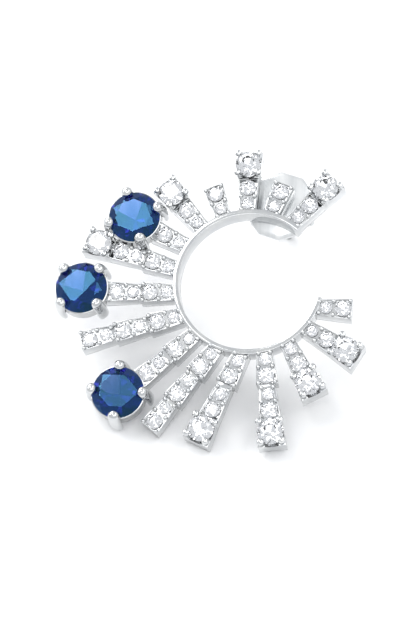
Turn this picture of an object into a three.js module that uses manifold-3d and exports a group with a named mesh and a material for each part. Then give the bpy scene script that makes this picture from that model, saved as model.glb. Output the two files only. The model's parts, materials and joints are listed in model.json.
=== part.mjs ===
// Sunburst hoop earring: an open silver hoop with sixteen stone-set rays, a soldered post and a clutch.
// Millimetres, +Z up. The earring lies face up on its post and two ray tips, as it does on a table.
import * as THREE from 'three';
import { ConvexHull } from 'three/addons/math/ConvexHull.js';
import { mergeVertices } from 'three/addons/utils/BufferGeometryUtils.js';
import Module from 'manifold-3d';

const wasm = await Module();
wasm.setup();

// Hoop
const hoopInnerRadius = 6.75;
const hoopOuterRadius = 7.27;
const hoopHeight = 2.1;
const hoopEdge = 0.12;
const hoopSteps = 40;

// Rays
const rayBack = 0.3;
const rayFace = 1.95;
const firstRayAngle = 53.4;
const rayPitch = 19.08;
const firstSeatRadius = 7.93;
const pairStep = 1.6;
const pairNarrow = 0.74;
const pairWide = 1.02;
const footOverlap = 1.1;
const endMargin = 0.85;

// Stones: girdle radius, height of the crown, depth of the pavilion, and size of the table
const smallStone = { radius: 0.58, neck: 0.26 };
const mediumStone = { radius: 0.78, neck: 0.34 };
const clearStone = { radius: 1.25, crown: 0.42, girdle: 0.08, pavilion: 1.05, table: 0.56, sides: 12 };
const sapphireStone = { radius: 2.5, crown: 0.78, girdle: 0.12, pavilion: 2.05, table: 0.6, sides: 20 };
const stoneGap = 0.06;
const seatDepth = 0.75;
const seatSides = 8;

// Square settings of the clear stones
const clearReach = 2.2;
const clearGirdleHeight = 2.65;
const clearBoxFace = 2.25;
const clearBoxHalf = 1.34;
const clearHole = 0.6;
const clearProng = {
  offset: 0.98,
  radius: 0.24,
  bead: 0.31,
  foot: 1.2,
  neck: 2.72,
  belly: 2.92,
  crown: 3.2,
  sides: 6,
};

// Claw settings of the sapphires
const sapphireReach = 3.25;
const sapphireGirdleHeight = 2.9;
const cup = {
  rim: 2.56,
  rimHeight: 2.78,
  waist: 2.54,
  waistHeight: 1.2,
  hub: 1.5,
  hubHeight: 0.55,
  wall: 0.36,
  sides: 20,
};
const claw = {
  count: 4,
  width: 0.9,
  inner: 2.3,
  outer: 3,
  foot: 0.1,
  shoulder: 0.6,
  top: 3.42,
  bead: 0.45,
  beadRadius: 2.52,
  beadSides: 6,
  beadRows: 4,
};

// Post and clutch
const postRadius = 0.4;
const postLength = 9.5;
const postRoot = 0.6;
const postPlace = 1.0;
const postTip = 0.15;
const postSides = 12;
const clutch = {
  sides: 10,
  corner: 3.52,
  thickness: 0.8,
  bevel: 0.42,
  bevelDepth: 0.21,
  gap: 0.35,
  hole: 0.55,
  holeSides: 16,
  turn: 16.5,
};
const scroll = { outer: 1.3, wall: 0.32, length: 2.5, clear: 0.16, opening: 50, steps: 14 };

// Allowances: how far joined pieces run into each other, and how far a cut runs past a face
const joinDepth = 0.1;
const cutBeyond = 1;
const weldDistance = 1e-5;

// The faces of the hull that may be underneath look back by at least this much (the cosine of 45 degrees).
const looksBack = 0.7;

// One row for each ray, anticlockwise from the upper end of the hoop.
// lean: degrees that the ray turns off the radius. pairs: rows of one small and one medium stone.
// pitch: length of a pair. tip: what the ray ends in.
const rays = [
  { lean: -7, pairs: 1, pitch: 3.35, tip: 'clear' },
  { lean: -5, pairs: 1, pitch: 3.35, tip: 'plain' },
  { lean: -3, pairs: 1, pitch: 3.35, tip: 'clear' },
  { lean: -1, pairs: 1, pitch: 3.35, tip: 'plain' },
  { lean: 1, pairs: 1, pitch: 3.35, tip: 'clear' },
  { lean: 3, pairs: 1, pitch: 3.35, tip: 'sapphire' },
  { lean: -7, pairs: 2, pitch: 3.35, tip: 'clear' },
  { lean: -9, pairs: 2, pitch: 3.25, tip: 'sapphire' },
  { lean: -12, pairs: 3, pitch: 3.35, tip: 'plain' },
  { lean: -5, pairs: 2, pitch: 3.6, tip: 'sapphire' },
  { lean: -13, pairs: 3, pitch: 3.35, tip: 'plain' },
  { lean: -19, pairs: 2, pitch: 3.6, tip: 'clear' },
  { lean: -7, pairs: 2, pitch: 3.4, tip: 'clear' },
  { lean: -5, pairs: 1, pitch: 3.35, tip: 'clear' },
  { lean: 7, pairs: 1, pitch: 3.35, tip: 'clear' },
  { lean: 16, pairs: 1, pitch: 3.35, tip: 'plain' },
];
const postRay = 1;

// Weight of one cubic millimetre, in milligrams, to find the centre of mass
const silverDensity = 10.4;
const clearDensity = 5.7;
const sapphireDensity = 4.0;

const silver = new THREE.MeshStandardMaterial({ color: '#dcdee2', roughness: 0.16, metalness: 1 });
const clear = new THREE.MeshStandardMaterial({ color: '#f1f3f6', roughness: 0.04, metalness: 0 });
const blue = new THREE.MeshStandardMaterial({ color: '#23429f', roughness: 0.04, metalness: 0 });

const radians = THREE.MathUtils.degToRad;

function solidOf(geometry) {
  const plain = geometry.clone();
  plain.deleteAttribute('normal');
  plain.deleteAttribute('uv');
  const merged = mergeVertices(plain, weldDistance);
  const mesh = new wasm.Mesh({
    numProp: 3,
    vertProperties: new Float32Array(merged.attributes.position.array),
    triVerts: new Uint32Array(merged.index.array),
  });
  return new wasm.Manifold(mesh);
}

function geometryOf(solid) {
  const mesh = solid.getMesh();
  const geometry = new THREE.BufferGeometry();
  geometry.setAttribute('position', new THREE.BufferAttribute(mesh.vertProperties, 3));
  geometry.setIndex(new THREE.BufferAttribute(mesh.triVerts, 1));
  geometry.computeVertexNormals();
  return geometry;
}

function joined(geometries) {
  return geometries.map(solidOf).reduce((whole, piece) => whole.add(piece));
}

function prism(points, low, high) {
  const shape = new THREE.Shape(points.map(([x, y]) => new THREE.Vector2(x, y)));
  const geometry = new THREE.ExtrudeGeometry(shape, { depth: high - low, bevelEnabled: false });
  return geometry.translate(0, 0, low);
}

// A turned shape about Z, from its profile of [radius, height] points that starts and ends on the axis.
function turned(profile, sides) {
  const points = profile.map(([radius, height]) => new THREE.Vector2(radius, height));
  return new THREE.LatheGeometry(points, sides).rotateX(Math.PI / 2);
}

function peg(radius, low, high, sides) {
  return turned([[0, low], [radius, low], [radius, high], [0, high]], sides);
}

// A round brilliant: pavilion, girdle, crown and table, grown all round by an allowance.
function brilliant(stone, girdleHeight, allowance) {
  const low = girdleHeight - stone.girdle / 2 - allowance;
  const high = girdleHeight + stone.girdle / 2 + allowance;
  const radius = stone.radius + allowance;
  return turned([
    [0, low - stone.pavilion],
    [radius, low],
    [radius, high],
    [stone.radius * stone.table + allowance, high + stone.crown],
    [0, high + stone.crown],
  ], stone.sides);
}

function rayAngle(index) {
  return radians(firstRayAngle + rayPitch * index);
}

// The ray's own frame: X runs outward along the ray from its first seat.
function rayFrame(index) {
  const around = rayAngle(index);
  const along = around + radians(rays[index].lean);
  const frame = new THREE.Matrix4().makeRotationZ(along);
  frame.setPosition(firstSeatRadius * Math.cos(around), firstSeatRadius * Math.sin(around), 0);
  return frame;
}

function lastSeat(ray) {
  return ray.pitch * (ray.pairs - 1) + pairStep;
}

function hoop() {
  const side = Math.asin(pairNarrow / hoopOuterRadius);
  const start = rayAngle(0) - side;
  const end = rayAngle(rays.length - 1) + side;
  const inset = hoopEdge;
  const shape = new THREE.Shape();
  shape.absarc(0, 0, hoopOuterRadius - inset, start, end, false);
  shape.absarc(0, 0, hoopInnerRadius + inset, end, start, true);
  const geometry = new THREE.ExtrudeGeometry(shape, {
    depth: hoopHeight - 2 * inset,
    bevelThickness: inset,
    bevelSize: inset,
    bevelSegments: 1,
    curveSegments: hoopSteps,
  });
  return geometry.translate(0, 0, inset);
}

// Each pair of stones has its own wedge of the ray, which starts narrow again after the wide end of the last.
function rayOutline(ray) {
  const right = [];
  for (let pair = 0; pair < ray.pairs; pair++) {
    const end = ray.pitch * pair + pairStep + endMargin;
    const start = pair === 0 ? -footOverlap : end - ray.pitch;
    right.push([start, -pairNarrow], [end, -pairWide]);
  }
  const left = right.map(([x, y]) => [x, -y]).reverse();
  return [...right, ...left];
}

function seatCutter(stone, x) {
  const profile = [
    [0, rayFace - seatDepth],
    [stone.neck, rayFace - seatDepth],
    [stone.radius, rayFace],
    [stone.radius, rayFace + cutBeyond],
    [0, rayFace + cutBeyond],
  ];
  return turned(profile, seatSides).translate(x, 0, 0);
}

function seats(ray) {
  const cutters = [];
  for (let pair = 0; pair < ray.pairs; pair++) {
    cutters.push(seatCutter(smallStone, ray.pitch * pair));
    cutters.push(seatCutter(mediumStone, ray.pitch * pair + pairStep));
  }
  return cutters;
}

// A round prong with a beaded head, beside a clear stone.
function roundProng() {
  return turned([
    [0, clearProng.foot],
    [clearProng.radius, clearProng.foot],
    [clearProng.radius, clearProng.neck],
    [clearProng.bead, clearProng.belly],
    [clearProng.radius / 2, clearProng.crown],
    [0, clearProng.crown],
  ], clearProng.sides);
}

// A square box that carries on from the ray, with a round prong at each corner.
function clearSetting(ray) {
  const centre = lastSeat(ray) + clearReach;
  const start = lastSeat(ray) + endMargin - joinDepth;
  const end = centre + clearBoxHalf;
  const outline = [[start, -pairWide], [end, -clearBoxHalf], [end, clearBoxHalf], [start, pairWide]];
  const pieces = [prism(outline, rayBack, clearBoxFace)];
  for (const [x, y] of [[1, 1], [1, -1], [-1, 1], [-1, -1]]) {
    pieces.push(roundProng().translate(centre + x * clearProng.offset, y * clearProng.offset, 0));
  }
  const stone = brilliant(clearStone, clearGirdleHeight, stoneGap).translate(centre, 0, 0);
  const hole = peg(clearHole, -cutBeyond, clearBoxFace, seatSides).translate(centre, 0, 0);
  return { pieces, cutters: [stone, hole] };
}

// A claw: a flat shank with a pointed foot outside the cup, and a bead that folds over the stone.
function sapphireClaw(centre, angle) {
  const half = claw.width / 2;
  const outline = [
    [-half, claw.top],
    [-half, claw.shoulder],
    [0, claw.foot],
    [half, claw.shoulder],
    [half, claw.top],
  ];
  const shank = prism(outline, 0, claw.outer - claw.inner);
  const upright = new THREE.Matrix4().makeBasis(
    new THREE.Vector3(0, 1, 0), new THREE.Vector3(0, 0, 1), new THREE.Vector3(1, 0, 0));
  shank.applyMatrix4(upright).translate(claw.inner, 0, 0);
  const bead = new THREE.SphereGeometry(claw.bead, claw.beadSides, claw.beadRows);
  bead.rotateX(Math.PI / 2).translate(claw.beadRadius, 0, claw.top);
  return [shank, bead].map((piece) => piece.rotateZ(angle).translate(centre, 0, 0));
}

// A tapered cup on the end of the ray, open below, with claws that stand between the ray's own directions.
function sapphireSetting(ray) {
  const centre = lastSeat(ray) + sapphireReach;
  const body = turned([
    [0, rayBack],
    [cup.hub, rayBack],
    [cup.hub, cup.hubHeight],
    [cup.waist, cup.waistHeight],
    [cup.rim, cup.rimHeight],
    [0, cup.rimHeight],
  ], cup.sides).translate(centre, 0, 0);
  const hollow = turned([
    [0, rayBack - cutBeyond],
    [cup.hub - cup.wall, rayBack - cutBeyond],
    [cup.hub - cup.wall, cup.hubHeight + cup.wall / 2],
    [cup.waist - cup.wall, cup.waistHeight + cup.wall],
    [cup.rim - cup.wall, cup.rimHeight + cutBeyond],
    [0, cup.rimHeight + cutBeyond],
  ], cup.sides).translate(centre, 0, 0);
  const start = lastSeat(ray) + endMargin - joinDepth;
  const outline = [[start, -pairWide], [centre, -pairWide], [centre, pairWide], [start, pairWide]];
  const pieces = [body, prism(outline, rayBack, rayFace)];
  for (let k = 0; k < claw.count; k++) {
    pieces.push(...sapphireClaw(centre, 2 * Math.PI * (k + 0.5) / claw.count));
  }
  const stone = brilliant(sapphireStone, sapphireGirdleHeight, stoneGap).translate(centre, 0, 0);
  return { pieces, cutters: [stone, hollow] };
}

function tipSetting(ray) {
  if (ray.tip === 'clear') return clearSetting(ray);
  if (ray.tip === 'sapphire') return sapphireSetting(ray);
  return { pieces: [], cutters: [] };
}

// A plain round post behind the second ray, with a blunt tip.
function post() {
  const profile = [
    [0, -postLength],
    [postRadius - postTip, -postLength],
    [postRadius, -postLength + postTip],
    [postRadius, postRoot],
    [0, postRoot],
  ];
  return turned(profile, postSides).translate(postPlace, 0, 0);
}

// The rays stop halfway through the hoop's wall, so that none shows inside the hoop.
function silverBody() {
  const core = solidOf(peg((hoopInnerRadius + hoopOuterRadius) / 2, -cutBeyond, hoopHeight, hoopSteps));
  const added = [];
  const removed = [];
  rays.forEach((ray, index) => {
    const tip = tipSetting(ray);
    const pieces = [prism(rayOutline(ray), rayBack, rayFace), ...tip.pieces];
    const cutters = [...seats(ray), ...tip.cutters];
    [...pieces, ...cutters].forEach((piece) => piece.applyMatrix4(rayFrame(index)));
    added.push(...pieces);
    removed.push(...cutters);
  });
  const fan = joined(added).subtract(core);
  const set = solidOf(hoop()).add(fan).subtract(joined(removed));
  return set.add(solidOf(post().applyMatrix4(rayFrame(postRay))));
}

// A strip curled nearly full circle, its axis along Y, springing from the back of the plate.
function scrollCurl() {
  const shape = new THREE.Shape();
  const start = radians(90 - scroll.opening);
  const end = radians(90);
  const turn = 2 * Math.PI;
  shape.absarc(0, 0, scroll.outer, end, start + turn, false);
  shape.absarc(0, 0, scroll.outer - scroll.wall, start + turn, end, true);
  const geometry = new THREE.ExtrudeGeometry(shape, {
    depth: scroll.length,
    bevelEnabled: false,
    curveSegments: scroll.steps,
  });
  return geometry.translate(0, 0, -scroll.length / 2).rotateX(Math.PI / 2);
}

// A ten-sided plate with a bevelled edge, bored for the post, with a scroll on each side of it behind.
function earClutch() {
  const front = -clutch.gap;
  const corners = [];
  for (let k = 0; k < clutch.sides; k++) {
    const angle = radians(clutch.turn + 360 * k / clutch.sides);
    const corner = new THREE.Vector2(Math.cos(angle), Math.sin(angle));
    corners.push(corner.multiplyScalar(clutch.corner - clutch.bevel));
  }
  const plate = new THREE.ExtrudeGeometry(new THREE.Shape(corners), {
    depth: clutch.thickness - 2 * clutch.bevelDepth,
    bevelThickness: clutch.bevelDepth,
    bevelSize: clutch.bevel,
    bevelSegments: 1,
  });
  plate.translate(0, 0, front - clutch.thickness + clutch.bevelDepth);
  const across = postRadius + scroll.clear + scroll.outer;
  const down = front - clutch.thickness - scroll.outer + joinDepth;
  const rightCurl = scrollCurl().translate(across, 0, down);
  const leftCurl = scrollCurl().rotateZ(Math.PI).translate(-across, 0, down);
  const hole = solidOf(peg(clutch.hole, front - clutch.thickness - cutBeyond, cutBeyond, clutch.holeSides));
  return joined([plate, rightCurl, leftCurl]).subtract(hole);
}

function named(name, geometry, material, density) {
  const mesh = new THREE.Mesh(geometry, material);
  mesh.name = name;
  mesh.userData.density = density;
  return mesh;
}

// The stones of one kind, numbered along the fan.
function tipStones(kind) {
  const geometry = geometryOf(solidOf(brilliant(kind.stone, kind.girdleHeight, 0)));
  const stones = [];
  rays.forEach((ray, index) => {
    if (ray.tip !== kind.tip) return;
    const stone = named(`${kind.name}_${stones.length + 1}`, geometry, kind.material, kind.density);
    stone.applyMatrix4(rayFrame(index));
    stone.translateX(lastSeat(ray) + kind.reach);
    stones.push(stone);
  });
  return stones;
}

// The centre of mass of a group of closed meshes.
function centreOfMass(group) {
  const total = new THREE.Vector3();
  let mass = 0;
  const corner = [new THREE.Vector3(), new THREE.Vector3(), new THREE.Vector3()];
  group.traverse((mesh) => {
    if (!mesh.isMesh) return;
    const { position } = mesh.geometry.attributes;
    const order = mesh.geometry.index.array;
    for (let i = 0; i < order.length; i += 3) {
      corner.forEach((v, k) => v.fromBufferAttribute(position, order[i + k]).applyMatrix4(mesh.matrixWorld));
      const [a, b, c] = corner;
      const weight = mesh.userData.density * a.dot(b.clone().cross(c)) / 6;
      total.addScaledVector(a.clone().add(b).add(c), weight / 4);
      mass += weight;
    }
  });
  return total.divideScalar(mass);
}

// True where a point, carried straight onto the face, lands inside it.
function standsOver(face, point) {
  let edge = face.edge;
  do {
    const start = edge.tail().point;
    const outward = edge.head().point.clone().sub(start).cross(face.normal);
    if (point.clone().sub(start).dot(outward) > 0) return false;
    edge = edge.next;
  } while (edge !== face.edge);
  return true;
}

// Turns a group laid out face up so that it stands on the back face of its hull that its weight falls on.
function laidDown(group) {
  group.updateMatrixWorld(true);
  const hull = new ConvexHull().setFromObject(group);
  const centre = centreOfMass(group);
  const back = new THREE.Vector3(0, 0, -1);
  const stands = hull.faces.filter((face) => face.normal.dot(back) > looksBack && standsOver(face, centre));
  const widest = stands.reduce((best, face) => (face.area > best.area ? face : best));
  const turn = new THREE.Quaternion().setFromUnitVectors(widest.normal, back);
  group.quaternion.copy(turn);
  const holder = new THREE.Group().add(group);
  holder.updateMatrixWorld(true);
  const box = new THREE.Box3().setFromObject(holder, true);
  const middle = box.getCenter(new THREE.Vector3());
  group.position.set(-middle.x, -middle.y, -box.min.z);
  return holder;
}

const stoneKinds = [
  {
    tip: 'clear',
    name: 'clear_stone',
    stone: clearStone,
    girdleHeight: clearGirdleHeight,
    reach: clearReach,
    material: clear,
    density: clearDensity,
  },
  {
    tip: 'sapphire',
    name: 'sapphire',
    stone: sapphireStone,
    girdleHeight: sapphireGirdleHeight,
    reach: sapphireReach,
    material: blue,
    density: sapphireDensity,
  },
];

const earring = new THREE.Group();
earring.add(named('silver_body', geometryOf(silverBody()), silver, silverDensity));
stoneKinds.forEach((kind) => earring.add(...tipStones(kind)));
const clutchMesh = named('ear_clutch', geometryOf(earClutch()), silver, silverDensity);
clutchMesh.applyMatrix4(new THREE.Matrix4().setPosition(
  new THREE.Vector3(postPlace, 0, 0).applyMatrix4(rayFrame(postRay))));
earring.add(clutchMesh);

export default laidDown(earring);
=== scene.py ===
import json
import math
import random

import bmesh
import bpy
from mathutils import Matrix, Vector


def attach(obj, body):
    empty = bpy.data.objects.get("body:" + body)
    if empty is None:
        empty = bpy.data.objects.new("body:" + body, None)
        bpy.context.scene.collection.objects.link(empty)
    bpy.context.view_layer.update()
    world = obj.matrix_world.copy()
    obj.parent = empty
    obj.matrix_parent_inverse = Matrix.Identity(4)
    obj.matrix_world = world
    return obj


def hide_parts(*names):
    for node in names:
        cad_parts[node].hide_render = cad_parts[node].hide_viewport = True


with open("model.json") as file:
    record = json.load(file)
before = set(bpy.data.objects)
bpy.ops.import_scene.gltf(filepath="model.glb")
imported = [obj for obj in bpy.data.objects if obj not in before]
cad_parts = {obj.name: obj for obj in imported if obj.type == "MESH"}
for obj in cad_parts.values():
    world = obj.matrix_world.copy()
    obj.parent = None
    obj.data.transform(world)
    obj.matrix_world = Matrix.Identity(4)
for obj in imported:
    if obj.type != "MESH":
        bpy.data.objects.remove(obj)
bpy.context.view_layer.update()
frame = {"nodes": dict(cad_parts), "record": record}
print("frame loaded:", len(frame["nodes"]), "nodes")

# Pieces are made flat at a thousand times size, a unit for each millimetre,
# and shrunk when they are laid down.
mm = 0.001
chance = random.Random(11)

# The fan, in millimetres and degrees, anticlockwise from the upper end of the hoop.
# Each ray leans off the radius by lean, and holds pairs of one small and one medium stone, a pitch apart.
fan = {
    "firstAngle": 53.4,
    "rayPitch": 19.08,
    "firstSeat": 7.93,  # from the hoop's centre to a ray's first stone
    "pairStep": 1.6,  # from a small stone to its medium one
    "endMargin": 0.85,  # metal past a wedge's last stone
    "narrow": 0.74,  # half of a wedge's width at its foot
    "wide": 1.02,  # and at its outer end
    "back": 0.3,  # height of a ray's back
    "face": 1.95,  # and of its front
}
rays = [
    {"lean": -7, "pairs": 1, "pitch": 3.35, "tip": "clear"},
    {"lean": -5, "pairs": 1, "pitch": 3.35, "tip": "plain"},
    {"lean": -3, "pairs": 1, "pitch": 3.35, "tip": "clear"},
    {"lean": -1, "pairs": 1, "pitch": 3.35, "tip": "plain"},
    {"lean": 1, "pairs": 1, "pitch": 3.35, "tip": "clear"},
    {"lean": 3, "pairs": 1, "pitch": 3.35, "tip": "sapphire"},
    {"lean": -7, "pairs": 2, "pitch": 3.35, "tip": "clear"},
    {"lean": -9, "pairs": 2, "pitch": 3.25, "tip": "sapphire"},
    {"lean": -12, "pairs": 3, "pitch": 3.35, "tip": "plain"},
    {"lean": -5, "pairs": 2, "pitch": 3.6, "tip": "sapphire"},
    {"lean": -13, "pairs": 3, "pitch": 3.35, "tip": "plain"},
    {"lean": -19, "pairs": 2, "pitch": 3.6, "tip": "clear"},
    {"lean": -7, "pairs": 2, "pitch": 3.4, "tip": "clear"},
    {"lean": -5, "pairs": 1, "pitch": 3.35, "tip": "clear"},
    {"lean": 7, "pairs": 1, "pitch": 3.35, "tip": "clear"},
    {"lean": 16, "pairs": 1, "pitch": 3.35, "tip": "plain"},
]
postRay = 1


def rayPlace(index):
    # the ray's own frame: X runs outward from its first seat
    around = math.radians(fan["firstAngle"] + fan["rayPitch"] * index)
    seat = Vector((math.cos(around), math.sin(around), 0)) * fan["firstSeat"]
    return Matrix.Translation(seat) @ Matrix.Rotation(rayTurn(index), 4, "Z")


def rayTurn(index):
    return math.radians(fan["firstAngle"] + fan["rayPitch"] * index + rays[index]["lean"])


def lastSeat(ray):
    return ray["pitch"] * (ray["pairs"] - 1) + fan["pairStep"]


def seatsOf(ray):
    # (distance along the ray, size of the stone)
    for pair in range(ray["pairs"]):
        yield ray["pitch"] * pair, "small"
        yield ray["pitch"] * pair + fan["pairStep"], "medium"


# Where the earring lies: the clutch slides off straight down its post, and the post's end is the mount.
post = {"radius": 0.4, "length": 9.5, "root": 0.6, "place": 1.0, "tip": 0.15, "tipRound": 0.3,
        "solder": 0.15, "solderFoot": 0.15}
slide = frame["record"]["behaviour"]["joints"][0]
postEnd = Vector(frame["record"]["mounts"][0]["pos_m"])
faceUp = -Vector(slide["axis"]).normalized()
turn = Vector((0, 0, 1)).rotation_difference(faceUp).to_matrix().to_4x4()
postPlace = rayPlace(postRay) @ Matrix.Translation((post["place"], 0, 0))
flatPostEnd = postPlace @ Vector((0, 0, -post["length"]))
hoopCentre = postEnd - turn @ (flatPostEnd * mm)
laidDown = Matrix.Translation(hoopCentre) @ turn @ Matrix.Scale(mm, 4)


# Small hand tools

squareOn = 0.9  # a face looks along an axis when its normal's share of it is above this


def deselectAll():
    if bpy.context.object and bpy.context.object.mode == "EDIT":
        bpy.ops.object.mode_set(mode="OBJECT")
    bpy.ops.object.select_all(action="DESELECT")


def selectOnly(*pieces):
    deselectAll()
    for piece in pieces:
        piece.select_set(True)
    bpy.context.view_layer.objects.active = pieces[0]


def edit(kind="FACE"):
    bpy.ops.object.mode_set(mode="EDIT")
    bpy.ops.mesh.select_mode(type=kind)


def finishEdit(name=None):
    bpy.ops.object.mode_set(mode="OBJECT")
    piece = bpy.context.object
    if name:
        piece.name = name
        piece.data.name = name
    return piece


def pickFaces(test):
    bpy.ops.mesh.select_all(action="DESELECT")
    mesh = bmesh.from_edit_mesh(bpy.context.object.data)
    for face in mesh.faces:
        if test(face.normal, face.calc_center_median()):
            face.select_set(True)
    bmesh.update_edit_mesh(bpy.context.object.data)


def pickEdges(test):
    bpy.ops.mesh.select_all(action="DESELECT")
    mesh = bmesh.from_edit_mesh(bpy.context.object.data)
    for edge in mesh.edges:
        if test(*[vertex.co for vertex in edge.verts]):
            edge.select_set(True)
    bmesh.update_edit_mesh(bpy.context.object.data)


def extrudeBy(x=0.0, z=0.0):
    bpy.ops.mesh.extrude_region_move(TRANSFORM_OT_translate={"value": (x, 0.0, z)})


def applyModifiers(piece):
    selectOnly(piece)
    for modifier in list(piece.modifiers):
        bpy.ops.object.modifier_apply(modifier=modifier.name)


def cutAway(piece, cutter):
    selectOnly(piece)
    cut = piece.modifiers.new("cut", "BOOLEAN")
    cut.operation = "DIFFERENCE"
    cut.solver = "EXACT"
    cut.object = cutter
    bpy.ops.object.modifier_apply(modifier="cut")
    bpy.data.objects.remove(cutter)
    return piece


def softenEdges(piece, width, segments=2, angle=40):
    bevel = piece.modifiers.new("soften", "BEVEL")
    bevel.width = width
    bevel.segments = segments
    bevel.limit_method = "ANGLE"
    bevel.angle_limit = math.radians(angle)
    applyModifiers(piece)


def copyTo(piece, place, name=None):
    selectOnly(piece)
    bpy.ops.object.duplicate()
    copy = bpy.context.object
    copy.matrix_world = place
    bpy.ops.object.transform_apply(location=True, rotation=True, scale=True)
    if name:
        copy.name = name
        copy.data.name = name
    return copy


def joinAll(pieces, name):
    selectOnly(*pieces)
    if len(pieces) > 1:
        bpy.ops.object.join()
    return finishEdit(name)


def turnRings(rings, sides, caps=(True, True)):
    # a ring is drawn, then pulled up and resized ring by ring, and its ends are filled
    radius, height = rings[0]
    deselectAll()
    bpy.ops.mesh.primitive_circle_add(vertices=sides, radius=radius, location=(0, 0, 0))
    edit("EDGE")
    bpy.ops.transform.translate(value=(0, 0, height))
    if caps[0]:
        bpy.ops.mesh.edge_face_add()
        bpy.ops.mesh.select_mode(type="EDGE")
        pickEdges(lambda a, b: True)
    for nextRadius, nextHeight in rings[1:]:
        bpy.ops.mesh.extrude_edges_move(TRANSFORM_OT_translate={"value": (0, 0, nextHeight - height)})
        ratio = nextRadius / radius
        bpy.ops.transform.resize(value=(ratio, ratio, 1))
        radius, height = nextRadius, nextHeight
    if caps[1]:
        bpy.ops.mesh.edge_face_add()
    bpy.ops.mesh.select_all(action="SELECT")
    bpy.ops.mesh.normals_make_consistent(inside=False)
    return finishEdit()


def settle(piece, material, slotName, body, *nodes, smooth=30):
    # lays the piece down, gives it its finish and says which solids it stands for
    selectOnly(piece)
    piece.matrix_world = laidDown @ piece.matrix_world
    bpy.ops.object.transform_apply(location=True, rotation=True, scale=True)
    if smooth:
        bpy.ops.object.shade_smooth_by_angle(angle=math.radians(smooth))
    else:
        bpy.ops.object.shade_flat()
    piece.data.materials.clear()
    piece.data.materials.append(material)
    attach(piece, body)
    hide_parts(*nodes)
    return piece


# Materials

def linear(hexColour):
    # sRGB hex to the linear colour that the shaders take
    parts = [int(hexColour[i:i + 2], 16) / 255 for i in (1, 3, 5)]
    return tuple(c / 12.92 if c <= 0.04045 else ((c + 0.055) / 1.055) ** 2.4 for c in parts) + (1.0,)


def addNode(material, kind, settings=None, links=None):
    # settings: properties and unlinked sockets; links: socket name to (node, output name)
    node = material.node_tree.nodes.new(kind)
    for key, value in (settings or {}).items():
        if hasattr(node, key):
            setattr(node, key, value)
        else:
            node.inputs[key].default_value = value
    for key, (source, output) in (links or {}).items():
        material.node_tree.links.new(source.outputs[output], node.inputs[key])
    return node


def newMaterial(name):
    material = bpy.data.materials.new(name)
    material.use_nodes = True
    material.node_tree.nodes.clear()
    return material


def rampColours(ramp, *stops):
    elements = ramp.color_ramp.elements
    while len(elements) < len(stops):
        elements.new(0.5)
    for element, (position, colour) in zip(elements, stops):
        element.position = position
        element.color = colour


def rhodiumPolish():
    # rhodium-plated silver, tumble polished: near white and mirror bright,
    # with the faint haze and hairlines of a polishing wheel
    material = newMaterial("rhodiumPolish")
    place = addNode(material, "ShaderNodeTexCoord")
    # hairlines about 0.1 mm apart, drawn as coarse as they need to show, over a haze of about 1.4 mm
    hairs = addNode(material, "ShaderNodeTexNoise", {"Scale": 9000.0, "Detail": 3.0},
                    {"Vector": (place, "Object")})
    haze = addNode(material, "ShaderNodeTexNoise", {"Scale": 700.0, "Detail": 2.0},
                   {"Vector": (place, "Object")})
    gloss = addNode(material, "ShaderNodeMapRange", {"To Min": 0.05, "To Max": 0.14},
                    {"Value": (haze, "Fac")})
    tone = addNode(material, "ShaderNodeValToRGB", {}, {"Fac": (haze, "Fac")})
    rampColours(tone, (0.35, linear("#c4c6c8")), (0.65, linear("#d0d1d1")))
    bump = addNode(material, "ShaderNodeBump", {"Strength": 0.03, "Distance": 0.00002},
                   {"Height": (hairs, "Fac")})
    metal = addNode(material, "ShaderNodeBsdfPrincipled", {"Metallic": 1.0}, {
        "Base Color": (tone, "Color"), "Roughness": (gloss, "Result"), "Normal": (bump, "Normal")})
    addNode(material, "ShaderNodeOutputMaterial", {}, {"Surface": (metal, "BSDF")})
    return material


def clearBrilliant():
    # cubic zirconia, facet polished: colourless, with a refraction near diamond's that makes it flash
    material = newMaterial("clearBrilliant")
    place = addNode(material, "ShaderNodeTexCoord")
    # a barely grey cloud, about 1 mm across, so that no two stones are quite alike
    cloud = addNode(material, "ShaderNodeTexNoise", {"Scale": 900.0, "Detail": 1.0},
                    {"Vector": (place, "Object")})
    tone = addNode(material, "ShaderNodeValToRGB", {}, {"Fac": (cloud, "Fac")})
    rampColours(tone, (0.3, linear("#dfe0e4")), (0.7, linear("#ebecee")))
    stone = addNode(material, "ShaderNodeBsdfPrincipled", {
        "Roughness": 0.0, "IOR": 2.15, "Transmission Weight": 1.0}, {"Base Color": (tone, "Color")})
    addNode(material, "ShaderNodeOutputMaterial", {}, {"Surface": (stone, "BSDF")})
    return material


def deepBlueBrilliant():
    # blue corundum, facet polished: inky where it is deep, azure where its faces catch the light
    material = newMaterial("deepBlueBrilliant")
    place = addNode(material, "ShaderNodeTexCoord")
    # growth zoning: soft bands about 2 mm apart
    zones = addNode(material, "ShaderNodeTexWave", {"Scale": 160.0, "Distortion": 3.0},
                    {"Vector": (place, "Object")})
    tone = addNode(material, "ShaderNodeValToRGB", {}, {"Fac": (zones, "Fac")})
    rampColours(tone, (0.2, linear("#a0a4e0")), (0.8, linear("#aeb2ea")))
    stone = addNode(material, "ShaderNodeBsdfPrincipled", {
        "Roughness": 0.0, "IOR": 1.77, "Specular IOR Level": 0.4, "Specular Tint": linear("#78caff"),
        "Transmission Weight": 1.0}, {"Base Color": (tone, "Color")})
    depth = addNode(material, "ShaderNodeVolumeAbsorption", {"Color": linear("#4434c0"), "Density": 800.0})
    addNode(material, "ShaderNodeOutputMaterial", {},
            {"Surface": (stone, "BSDF"), "Volume": (depth, "Volume")})
    return material


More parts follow.
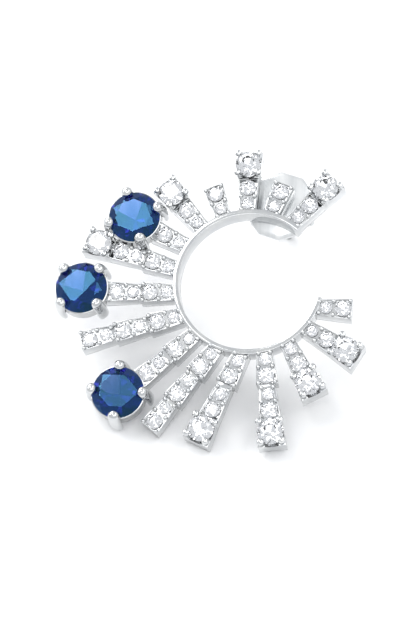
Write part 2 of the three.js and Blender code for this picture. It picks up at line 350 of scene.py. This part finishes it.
def brushedRhodium():
    # rhodium-plated sheet, brushed one way: soft light bands that run with the brush
    material = newMaterial("brushedRhodium")
    place = addNode(material, "ShaderNodeTexCoord")
    lengthwise = addNode(material, "ShaderNodeMapping", {"Scale": (1.0, 0.05, 0.05)},
                         {"Vector": (place, "Object")})
    # brush lines about 0.15 mm apart, drawn coarse so that they show, over bands of about 0.7 mm
    lines = addNode(material, "ShaderNodeTexNoise", {"Scale": 6600.0}, {"Vector": (lengthwise, "Vector")})
    bands = addNode(material, "ShaderNodeTexNoise", {"Scale": 1400.0}, {"Vector": (lengthwise, "Vector")})
    tone = addNode(material, "ShaderNodeValToRGB", {}, {"Fac": (bands, "Fac")})
    rampColours(tone, (0.35, linear("#dadcdd")), (0.65, linear("#ebecec")))
    gloss = addNode(material, "ShaderNodeMapRange", {"To Min": 0.24, "To Max": 0.4},
                    {"Value": (lines, "Fac")})
    bump = addNode(material, "ShaderNodeBump", {"Strength": 0.15, "Distance": 0.00003},
                   {"Height": (lines, "Fac")})
    metal = addNode(material, "ShaderNodeBsdfPrincipled", {"Metallic": 1.0}, {
        "Base Color": (tone, "Color"), "Roughness": (gloss, "Result"), "Normal": (bump, "Normal")})
    addNode(material, "ShaderNodeOutputMaterial", {}, {"Surface": (metal, "BSDF")})
    return material


silver = rhodiumPolish()
satin = brushedRhodium()
clear = clearBrilliant()
blue = deepBlueBrilliant()


# Hoop: a flat band's rounded section, spun from the first ray's outer side to the last ray's
hoop = {"inner": 6.75, "outer": 7.27, "height": 2.1, "edge": 0.07, "steps": 200}
weld = 0.0001  # a spin's doubled points are nearer than this


def makeHoop():
    side = math.asin(fan["narrow"] / hoop["outer"])
    start = math.radians(fan["firstAngle"]) - side
    sweep = math.radians(fan["rayPitch"] * (len(rays) - 1)) + 2 * side
    middle = ((hoop["inner"] + hoop["outer"]) / 2, 0, hoop["height"] / 2)
    deselectAll()
    bpy.ops.mesh.primitive_plane_add(size=1, location=middle, rotation=(math.pi / 2, 0, 0))
    bpy.ops.object.transform_apply(location=True, rotation=True, scale=True)
    edit("VERT")
    bpy.ops.mesh.select_all(action="SELECT")
    bpy.ops.transform.resize(value=(hoop["outer"] - hoop["inner"], 1, hoop["height"]), center_override=middle)
    bpy.ops.mesh.bevel(offset=hoop["edge"], offset_type="OFFSET", segments=3, affect="VERTICES")
    bpy.ops.mesh.select_all(action="SELECT")
    bpy.ops.mesh.spin(steps=hoop["steps"], angle=sweep, center=(0, 0, 0), axis=(0, 0, -1))
    bpy.ops.mesh.select_all(action="SELECT")
    bpy.ops.mesh.remove_doubles(threshold=weld)
    bpy.ops.mesh.normals_make_consistent(inside=False)
    piece = finishEdit("hoop_band")
    piece.rotation_euler.z = start
    selectOnly(piece)
    bpy.ops.object.transform_apply(location=True, rotation=True, scale=True)
    return settle(piece, silver, "silver", "earring", "silver_body")


makeHoop()
print("hoop band made")


# Rays: tapering wedges with a channel sunk in the face, drilled for each stone
channel = {"wall": 0.1, "depth": 0.13, "edge": 0.025, "footOverlap": 1.1, "intoBox": 0.98, "intoCup": 1.15}
seatDrill = {"room": 0.015, "tip": 0.12, "depthShare": 0.8, "belowGirdle": 0.06}
pocket = {"start": 0.5, "end": 0.84, "floor": 1.0, "height": 2, "margin": 0.06}
through = {"below": -1, "above": 3}  # the heights of a cutter that goes right through
paveStones = {
    "small": {"radius": 0.58, "girdleHeight": 1.9, "table": 0.56, "sides": 32, "mostTilt": 4},
    "medium": {"radius": 0.78, "girdleHeight": 1.92, "table": 0.56, "sides": 32, "mostTilt": 4},
}


def makeWedge(start, end):
    deselectAll()
    height = fan["face"] - fan["back"]
    bpy.ops.mesh.primitive_cube_add(size=1, location=((start + end) / 2, 0, fan["back"] + height / 2))
    bpy.ops.transform.resize(value=(end - start, 2 * fan["narrow"], height))
    bpy.ops.object.transform_apply(location=True, rotation=True, scale=True)
    edit()
    pickFaces(lambda normal, centre: normal.x > squareOn)
    bpy.ops.transform.resize(value=(1, fan["wide"] / fan["narrow"], 1), center_override=(end, 0, 0))
    pickFaces(lambda normal, centre: normal.z > squareOn)
    bpy.ops.mesh.inset(thickness=channel["wall"])
    extrudeBy(z=-channel["depth"])
    wedge = finishEdit()
    softenEdges(wedge, channel["edge"])
    return wedge


def drillFor(stone, x):
    # a tapering hole under the stone, down from the channel's floor
    reach = stone["radius"] + seatDrill["room"]
    shoulder = stone["girdleHeight"] - seatDrill["belowGirdle"]
    low = shoulder - seatDrill["depthShare"] * reach
    drill = turnRings([(seatDrill["tip"], low), (reach, shoulder), (reach, fan["face"])], sides=32)
    drill.location.x = x
    return drill


def pocketAt(seat):
    # a deep slot across the ray, where the stone box is soldered on
    start, end = seat + pocket["start"], seat + pocket["end"]
    halfWide = fan["wide"] - channel["wall"] - pocket["margin"]
    middle = ((start + end) / 2, 0, pocket["floor"] + pocket["height"] / 2)
    deselectAll()
    bpy.ops.mesh.primitive_cube_add(size=1, location=middle)
    bpy.ops.transform.resize(value=(end - start, 2 * halfWide, pocket["height"]))
    return bpy.context.object


def hoopCore(index):
    # cuts the foot round, to end inside the hoop's wall
    radius = (hoop["inner"] + hoop["outer"]) / 2
    core = turnRings([(radius, through["below"]), (radius, through["above"])], sides=96)
    core.matrix_world = rayPlace(index).inverted()
    return core


def makeRay(index):
    ray = rays[index]
    wedges = []
    for pair in range(ray["pairs"]):
        first = ray["pitch"] * pair
        start = -channel["footOverlap"] if pair == 0 else end - channel["wall"]
        end = first + fan["pairStep"] + fan["endMargin"]
        atTip = pair == ray["pairs"] - 1
        if atTip and ray["tip"] == "clear":
            end = lastSeat(ray) + channel["intoBox"]
        if atTip and ray["tip"] == "sapphire":
            end = lastSeat(ray) + channel["intoCup"]
        wedge = makeWedge(start, end)
        cutAway(wedge, drillFor(paveStones["small"], first))
        cutAway(wedge, drillFor(paveStones["medium"], first + fan["pairStep"]))
        if atTip and ray["tip"] == "clear":
            cutAway(wedge, pocketAt(lastSeat(ray)))
        if pair == 0:
            cutAway(wedge, hoopCore(index))
        wedges.append(wedge)
    piece = joinAll(wedges, "ray_%02d" % (index + 1))
    piece.matrix_world = rayPlace(index)
    return settle(piece, silver, "silver", "earring", "silver_body")


for index in range(len(rays)):
    makeRay(index)
print("rays made:", len(rays))


# Grain beads: pushed up round the stones, two at each end of a wedge and two between its stones
grain = {"radius": 0.24, "height": 1.92, "root": 0.15, "rootShare": 0.3, "fromEdge": 0.22,
         "start": -0.64, "middle": 0.71, "end": 2.28}


def makeGrains():
    deselectAll()
    bpy.ops.mesh.primitive_uv_sphere_add(segments=12, ring_count=8, radius=grain["radius"])
    edit()
    pickFaces(lambda normal, centre: centre.z < -grain["radius"] * grain["rootShare"])
    extrudeBy(z=-grain["root"])
    bead = finishEdit("grain")
    wedgeLength = fan["pairStep"] + fan["endMargin"] + channel["footOverlap"]
    beads = []
    for index, ray in enumerate(rays):
        for pair in range(ray["pairs"]):
            spots = [grain["start"], grain["middle"], grain["end"]]
            if pair == ray["pairs"] - 1 and ray["tip"] != "plain":
                spots.remove(grain["end"])
            for x in spots:
                share = (x + channel["footOverlap"]) / wedgeLength
                half = fan["narrow"] + (fan["wide"] - fan["narrow"]) * share - grain["fromEdge"]
                for side in (-half, half):
                    spot = Vector((ray["pitch"] * pair + x, side, grain["height"]))
                    beads.append(copyTo(bead, rayPlace(index) @ Matrix.Translation(spot)))
    bpy.data.objects.remove(bead)
    piece = joinAll(beads, "grain_beads")
    return settle(piece, silver, "silver", "earring", "silver_body")


makeGrains()
print("grain beads made")


# Brilliants: a round rough is cut facet by facet, as on a wheel
cut = {
    "crownSlope": 34.5,
    "starSlope": 21,
    "upperSlope": 41,
    "pavilionSlope": 41,
    "lowerSlope": 42.3,
    "girdle": 0.03,  # its height, as a share of the stone's radius
    "rough": 3,  # and the height of the uncut piece
}


def cutFacet(angle, slope, radius, height):
    tilt = math.radians(abs(slope))
    out = Vector((math.cos(angle), math.sin(angle), 0))
    normal = out * math.sin(tilt) + Vector((0, 0, math.cos(tilt) if slope >= 0 else -math.cos(tilt)))
    bpy.ops.mesh.select_all(action="SELECT")
    bpy.ops.mesh.bisect(plane_co=out * radius + Vector((0, 0, height)), plane_no=normal,
                        use_fill=True, clear_outer=True)


def makeBrilliant(radius, table, sides):
    # the girdle's lower edge is at height 0
    crown = radius * (1 - table) * math.tan(math.radians(cut["crownSlope"]))
    top = crown + cut["girdle"] * radius
    culet = -radius * math.tan(math.radians(cut["pavilionSlope"]))
    # a tier: how many facets, the first one's place as a share of a facet, slope, distance out, height
    tiers = [
        (8, 0, cut["crownSlope"], table * radius, top),  # mains
        (8, 0.5, cut["starSlope"], table * radius * math.cos(math.pi / 8), top),  # stars
        (16, 0.5, cut["upperSlope"], radius, cut["girdle"] * radius),  # upper halves
        (8, 0, -cut["pavilionSlope"], 0, culet),  # mains below
        (16, 0.5, -cut["lowerSlope"], radius, 0),  # lower halves
        (1, 0, 0, 0, top),  # table
    ]
    deselectAll()
    bpy.ops.mesh.primitive_cylinder_add(vertices=sides, radius=radius, depth=cut["rough"] * radius)
    edit()
    for count, phase, slope, reach, height in tiers:
        for k in range(count):
            cutFacet(2 * math.pi * (k + phase) / count, slope, reach, height)
    return finishEdit()


def setStone(piece, place, girdleHeight, tilt, name=None):
    # each stone sits turned at random and a touch out of level
    spin = Matrix.Rotation(chance.uniform(0, 2 * math.pi), 4, "Z")
    lean = Matrix.Rotation(math.radians(tilt), 4, Vector((chance.uniform(-1, 1), chance.uniform(-1, 1), 0)))
    return copyTo(piece, place @ Matrix.Translation((0, 0, girdleHeight)) @ lean @ spin, name)


def makePave(size):
    stone = paveStones[size]
    pattern = makeBrilliant(stone["radius"], stone["table"], stone["sides"])
    stones = []
    for index, ray in enumerate(rays):
        for x, seatSize in seatsOf(ray):
            if seatSize == size:
                place = rayPlace(index) @ Matrix.Translation((x, 0, 0))
                tilt = chance.uniform(0, stone["mostTilt"])
                stones.append(setStone(pattern, place, stone["girdleHeight"], tilt))
    bpy.data.objects.remove(pattern)
    piece = joinAll(stones, size + "_pave_stones")
    return settle(piece, clear, "clear_stone", "earring", "silver_body", smooth=0)


makePave("small")
makePave("medium")
print("pave stones set")


# Clear tips: a square box that carries on from the ray, drilled through, with a beaded prong at each corner.
# A turned shape, here and below, is a list of (radius, height).
clearTip = {
    "reach": 2.2,
    "half": 1.34,
    "face": 2.25,
    "edge": 0.05,
    "stone": 1.25,
    "table": 0.56,
    "stoneSides": 64,
    "mostTilt": 2,
    "girdleHeight": 2.62,
    "hole": 0.6,
    "holeTop": 1.0,
    "seat": 1.2,
    "seatTaper": 0.08,
    "seatStart": 1.75,
    "scoop": 1.0,
    "scoopDepth": 0.26,
    "scoopLength": 6,
    "prongOffset": 0.98,
    "prongs": [(0.2, 1.2), (0.22, 2.64), (0.31, 2.76), (0.35, 2.9), (0.33, 3.04), (0.24, 3.16), (0.1, 3.22)],
}


def makeScoop(sideways):
    # a round file cut across the top, which leaves the corners standing
    deselectAll()
    turned = (0, math.pi / 2, 0) if sideways else (math.pi / 2, 0, 0)
    height = clearTip["face"] - clearTip["scoopDepth"] + clearTip["scoop"]
    bpy.ops.mesh.primitive_cylinder_add(vertices=32, radius=clearTip["scoop"], depth=clearTip["scoopLength"],
                                        rotation=turned, location=(0, 0, height))
    return bpy.context.object


def makeBox():
    half = clearTip["half"]
    height = clearTip["face"] - fan["back"]
    deselectAll()
    bpy.ops.mesh.primitive_cube_add(size=1, location=(0, 0, fan["back"] + height / 2))
    bpy.ops.transform.resize(value=(2 * half, 2 * half, height))
    bpy.ops.object.transform_apply(location=True, rotation=True, scale=True)
    edit()
    pickFaces(lambda normal, centre: normal.x < -squareOn)
    bpy.ops.transform.resize(value=(1, fan["wide"] / half, 1), center_override=(-half, 0, 0))
    box = finishEdit("stone_box")
    softenEdges(box, clearTip["edge"], 3)
    hole, seat = clearTip["hole"], clearTip["seat"]
    drill = [(hole, 0), (hole, clearTip["holeTop"]), (seat - clearTip["seatTaper"], clearTip["seatStart"]),
             (seat, through["above"])]
    cutAway(box, turnRings(drill, sides=48))
    for sideways in (False, True):
        cutAway(box, makeScoop(sideways))
    prong = turnRings(clearTip["prongs"], sides=16)
    offset = clearTip["prongOffset"]
    corners = [(offset, offset), (offset, -offset), (-offset, offset), (-offset, -offset)]
    prongs = [copyTo(prong, Matrix.Translation((x, y, 0))) for x, y in corners]
    bpy.data.objects.remove(prong)
    return joinAll([box] + prongs, "stone_box")


def setClearTips():
    box = makeBox()
    stone = makeBrilliant(clearTip["stone"], clearTip["table"], clearTip["stoneSides"])
    count = 0
    for index, ray in enumerate(rays):
        if ray["tip"] != "clear":
            continue
        count += 1
        place = rayPlace(index) @ Matrix.Translation((lastSeat(ray) + clearTip["reach"], 0, 0))
        setting = copyTo(box, place, "stone_box_%d" % count)
        settle(setting, silver, "silver", "earring", "silver_body")
        tilt = chance.uniform(0, clearTip["mostTilt"])
        gem = setStone(stone, place, clearTip["girdleHeight"], tilt, "clear_brilliant_%d" % count)
        settle(gem, clear, "clear_stone", "earring", "clear_stone_%d" % count, smooth=0)
    bpy.data.objects.remove(box)
    bpy.data.objects.remove(stone)
    return count


print("clear tips set:", setClearTips())


# Blue tips: a round cup, drawn in below, with four claws that stand between the ray's own directions
blueTip = {
    "reach": 3.25,
    "stone": 2.5,
    "table": 0.66,
    "stoneSides": 96,
    "girdleHeight": 2.86,
    "outside": [(1.5, 0.3), (1.5, 0.55), (2.1, 0.85), (2.48, 1.15), (2.56, 1.35), (2.57, 2.7), (2.62, 2.82)],
    "wall": 0.16,
    "edge": 0.03,
}
claw = {
    "count": 4,
    "foot": {"z": 0.1, "height": 0.1, "radius": 2.74, "thickness": 0.24, "width": 0.4},
    "rings": [
        {"z": 0.4, "radius": 2.8, "thickness": 0.56, "width": 1.05},
        {"z": 0.85, "radius": 2.88, "thickness": 0.76, "width": 1.3},
        {"z": 2.3, "radius": 2.86, "thickness": 0.74, "width": 1.28},
        {"z": 2.95, "radius": 2.68, "thickness": 0.9, "width": 1.24},
        {"z": 3.45, "radius": 2.47, "thickness": 1.2, "width": 1.34},
        {"z": 4.05, "radius": 2.42, "thickness": 0.86, "width": 0.98},
    ],
}


def makeCup():
    cup = turnRings(blueTip["outside"], sides=72, caps=(False, False))
    wall = cup.modifiers.new("wall", "SOLIDIFY")
    wall.thickness = blueTip["wall"]
    wall.offset = -1
    applyModifiers(cup)
    softenEdges(cup, blueTip["edge"])
    return cup


def makeClaw():
    # a pointed foot pulled up ring by ring, to a round head that folds over the stone
    foot = claw["foot"]
    deselectAll()
    bpy.ops.mesh.primitive_cube_add(size=1, location=(foot["radius"], 0, foot["z"] + foot["height"] / 2))
    bpy.ops.transform.resize(value=(foot["thickness"], foot["width"], foot["height"]))
    bpy.ops.object.transform_apply(location=True, rotation=True, scale=True)
    edit()
    pickFaces(lambda normal, centre: normal.z > squareOn)
    last = dict(foot, z=foot["z"] + foot["height"])
    for ring in claw["rings"]:
        extrudeBy(x=ring["radius"] - last["radius"], z=ring["z"] - last["z"])
        ratio = (ring["thickness"] / last["thickness"], ring["width"] / last["width"], 1)
        bpy.ops.transform.resize(value=ratio, center_override=(ring["radius"], 0, ring["z"]))
        last = ring
    piece = finishEdit("claw")
    smooth = piece.modifiers.new("smooth", "SUBSURF")
    smooth.levels = 2
    smooth.render_levels = 2
    applyModifiers(piece)
    return piece


def setBlueTips():
    cup = makeCup()
    finger = makeClaw()
    stone = makeBrilliant(blueTip["stone"], blueTip["table"], blueTip["stoneSides"])
    count = 0
    for index, ray in enumerate(rays):
        if ray["tip"] != "sapphire":
            continue
        count += 1
        place = rayPlace(index) @ Matrix.Translation((lastSeat(ray) + blueTip["reach"], 0, 0))
        cupCopy = copyTo(cup, place, "blue_cup_%d" % count)
        settle(cupCopy, silver, "silver", "earring", "silver_body")
        fingers = []
        for k in range(claw["count"]):
            around = Matrix.Rotation(2 * math.pi * (k + 0.5) / claw["count"], 4, "Z")
            fingers.append(copyTo(finger, place @ around))
        claws = joinAll(fingers, "claws_%d" % count)
        settle(claws, silver, "silver", "earring", "silver_body", smooth=60)
        gem = setStone(stone, place, blueTip["girdleHeight"], 0, "blue_brilliant_%d" % count)
        settle(gem, blue, "blue_stone", "earring", "sapphire_%d" % count, smooth=0)
    for pattern in (cup, finger, stone):
        bpy.data.objects.remove(pattern)
    return count


print("blue tips set:", setBlueTips())


# Post: a straight wire with a rounded end, soldered behind the second ray
def makePost():
    radius, tip, solder = post["radius"], post["tip"], post["solder"]
    low = -post["length"]
    step = tip * post["tipRound"]
    rings = [(radius - tip, low), (radius - step, low + step), (radius, low + tip),
             (radius, post["solderFoot"]), (radius + solder, fan["back"]), (radius + solder, post["root"])]
    piece = turnRings(rings, sides=32)
    piece.name = "ear_post"
    piece.matrix_world = postPlace
    return settle(piece, silver, "silver", "earring", "silver_body")


makePost()


# Clutch: a ten-sided plate with a wide bevel, and two scrolls that grip the post
clutch = {"sides": 10, "corner": 3.52, "turn": -1.5, "thickness": 0.8, "bevel": 0.42, "bevelDepth": 0.21,
          "edge": 0.04, "gap": 0.35, "hole": 0.55, "drillReach": 1}
scroll = {"outer": 1.3, "wall": 0.32, "length": 2.5, "edge": 0.08, "clear": 0.16, "intoPlate": 0.1,
          "opening": 50, "steps": 40}


def makePlate():
    # a plain slab, drawn in at both faces for the bevel
    straight = clutch["thickness"] - 2 * clutch["bevelDepth"]
    drawnIn = 1 - clutch["bevel"] / clutch["corner"]
    middle = -clutch["gap"] - clutch["thickness"] / 2
    deselectAll()
    bpy.ops.mesh.primitive_cylinder_add(vertices=clutch["sides"], radius=clutch["corner"], depth=straight)
    edit()
    for face in (1, -1):
        pickFaces(lambda normal, centre: normal.z * face > squareOn)
        extrudeBy(z=face * clutch["bevelDepth"])
        bpy.ops.transform.resize(value=(drawnIn, drawnIn, 1), center_override=(0, 0, 0))
    plate = finishEdit("clutch_plate")
    plate.rotation_euler.z = math.radians(clutch["turn"])
    plate.location.z = middle
    selectOnly(plate)
    bpy.ops.object.transform_apply(location=True, rotation=True, scale=True)
    softenEdges(plate, clutch["edge"])
    ends = (middle - clutch["drillReach"], middle + clutch["drillReach"])
    drill = turnRings([(clutch["hole"], height) for height in ends], sides=40)
    return cutAway(plate, drill)


def makeScroll():
    # a strip's section, spun nearly full circle down from the back of the plate
    middle = scroll["outer"] - scroll["wall"] / 2
    deselectAll()
    bpy.ops.mesh.primitive_plane_add(size=1, location=(0, 0, middle), rotation=(0, math.pi / 2, 0))
    bpy.ops.object.transform_apply(location=True, rotation=True, scale=True)
    edit("VERT")
    bpy.ops.mesh.select_all(action="SELECT")
    bpy.ops.transform.resize(value=(1, scroll["length"], scroll["wall"]), center_override=(0, 0, middle))
    bpy.ops.mesh.bevel(offset=scroll["edge"], segments=2, affect="VERTICES")
    bpy.ops.mesh.select_all(action="SELECT")
    bpy.ops.mesh.spin(steps=scroll["steps"], angle=math.radians(360 - scroll["opening"]),
                      center=(0, 0, 0), axis=(0, 1, 0))
    bpy.ops.mesh.select_all(action="SELECT")
    bpy.ops.mesh.remove_doubles(threshold=weld)
    bpy.ops.mesh.normals_make_consistent(inside=False)
    return finishEdit("scroll")


def makeClutch():
    plate = makePlate()
    curl = makeScroll()
    across = post["radius"] + scroll["clear"] + scroll["outer"]
    down = -clutch["gap"] - clutch["thickness"] - scroll["outer"] + scroll["intoPlate"]
    spot = Matrix.Translation((across, 0, down))
    right = copyTo(curl, spot)
    left = copyTo(curl, Matrix.Rotation(math.pi, 4, "Z") @ spot)
    bpy.data.objects.remove(curl)
    piece = joinAll([plate, right, left], "push_back_clutch")
    piece.matrix_world = postPlace @ Matrix.Rotation(-rayTurn(postRay), 4, "Z")
    return settle(piece, satin, "silver", "clutch", "ear_clutch")


makeClutch()
print("post and clutch made")


# Floor, lights and camera, all in metres
paper = {"size": 1.2, "drop": 0.00002}


def whitePaper():
    # uncoated paper: matt, white and hardly toothed, with the tooth drawn coarse, about 2.5 mm across
    material = newMaterial("whitePaper")
    place = addNode(material, "ShaderNodeTexCoord")
    tooth = addNode(material, "ShaderNodeTexNoise", {"Scale": 400.0}, {"Vector": (place, "Object")})
    tone = addNode(material, "ShaderNodeValToRGB", {}, {"Fac": (tooth, "Fac")})
    rampColours(tone, (0.3, linear("#f6f6f7")), (0.7, linear("#f9f9f9")))
    sheet = addNode(material, "ShaderNodeBsdfPrincipled", {"Roughness": 0.9}, {"Base Color": (tone, "Color")})
    addNode(material, "ShaderNodeOutputMaterial", {}, {"Surface": (sheet, "BSDF")})
    return material


def addFloor():
    deselectAll()
    bpy.ops.mesh.primitive_plane_add(size=paper["size"], location=(0, 0, -paper["drop"]))
    floor = bpy.context.object
    floor.name = "floor"
    floor.data.materials.append(whitePaper())


addFloor()

# The blue tables mirror the key and the fill, and their star facets the left strip.
softBoxes = {
    "key": {"place": (-0.1282, 0.0161, 0.36), "width": 0.08, "height": 0.08, "roll": 50, "power": 0.12},
    "left": {"place": (-0.249, 0.162, 0.268), "width": 0.5, "height": 0.09, "roll": 0, "power": 0.8},
    "front": {"place": (0.05, -0.17, 0.36), "width": 0.3, "height": 0.1, "roll": 0, "power": 0.22},
    "right": {"place": (0.19, 0.0, 0.36), "width": 0.3, "height": 0.1, "roll": 0, "power": 0.22},
    "fill": {"place": (-0.0975, -0.049, 0.36), "width": 0.045, "height": 0.026, "roll": 0, "power": 0.008},
}


def addSoftBox(name, settings):
    deselectAll()
    bpy.ops.object.light_add(type="AREA", location=settings["place"])
    box = bpy.context.object
    box.name = name + "_soft_box"
    box.data.shape = "RECTANGLE"
    box.data.size = settings["width"]
    box.data.size_y = settings["height"]
    box.data.energy = settings["power"]
    facing = Vector(settings["place"]).to_track_quat("Z", "Y").to_matrix()
    box.rotation_euler = (facing @ Matrix.Rotation(math.radians(settings["roll"]), 3, "Z")).to_euler()


for name, settings in softBoxes.items():
    addSoftBox(name, settings)

studio = {"colour": "#f2f4f6", "strength": 1.04}
world = bpy.data.worlds.new("studio")
bpy.context.scene.world = world
world.use_nodes = True
background = world.node_tree.nodes["Background"]
background.inputs["Color"].default_value = linear(studio["colour"])
background.inputs["Strength"].default_value = studio["strength"]
bpy.context.scene.view_settings.view_transform = "Standard"
print("floor and lights placed")

# The camera stands in front and well above, close enough that the near tips look larger.
view = {"toCamera": (0.0641, -0.6123, 0.7880), "distance": 0.2, "frameHeight": 0.0594, "roll": 3.75,
        "right": -0.00382, "up": -0.00298}


def addCamera():
    towards = Vector(view["toCamera"]).normalized()
    level = towards.to_track_quat("Z", "Y").to_matrix().to_4x4()
    aim = level @ Matrix.Rotation(math.radians(-view["roll"]), 4, "Z")
    target = hoopCentre + turn.to_3x3() @ Vector((0, 0, hoop["height"] * mm))
    spot = target + aim.to_3x3() @ Vector((view["right"], view["up"], view["distance"]))
    bpy.ops.object.camera_add()
    camera = bpy.context.object
    camera.matrix_world = Matrix.Translation(spot) @ aim
    camera.data.lens = camera.data.sensor_width * view["distance"] / view["frameHeight"]
    camera.data.clip_start = 0.01
    bpy.context.scene.camera = camera


addCamera()
print("camera placed")
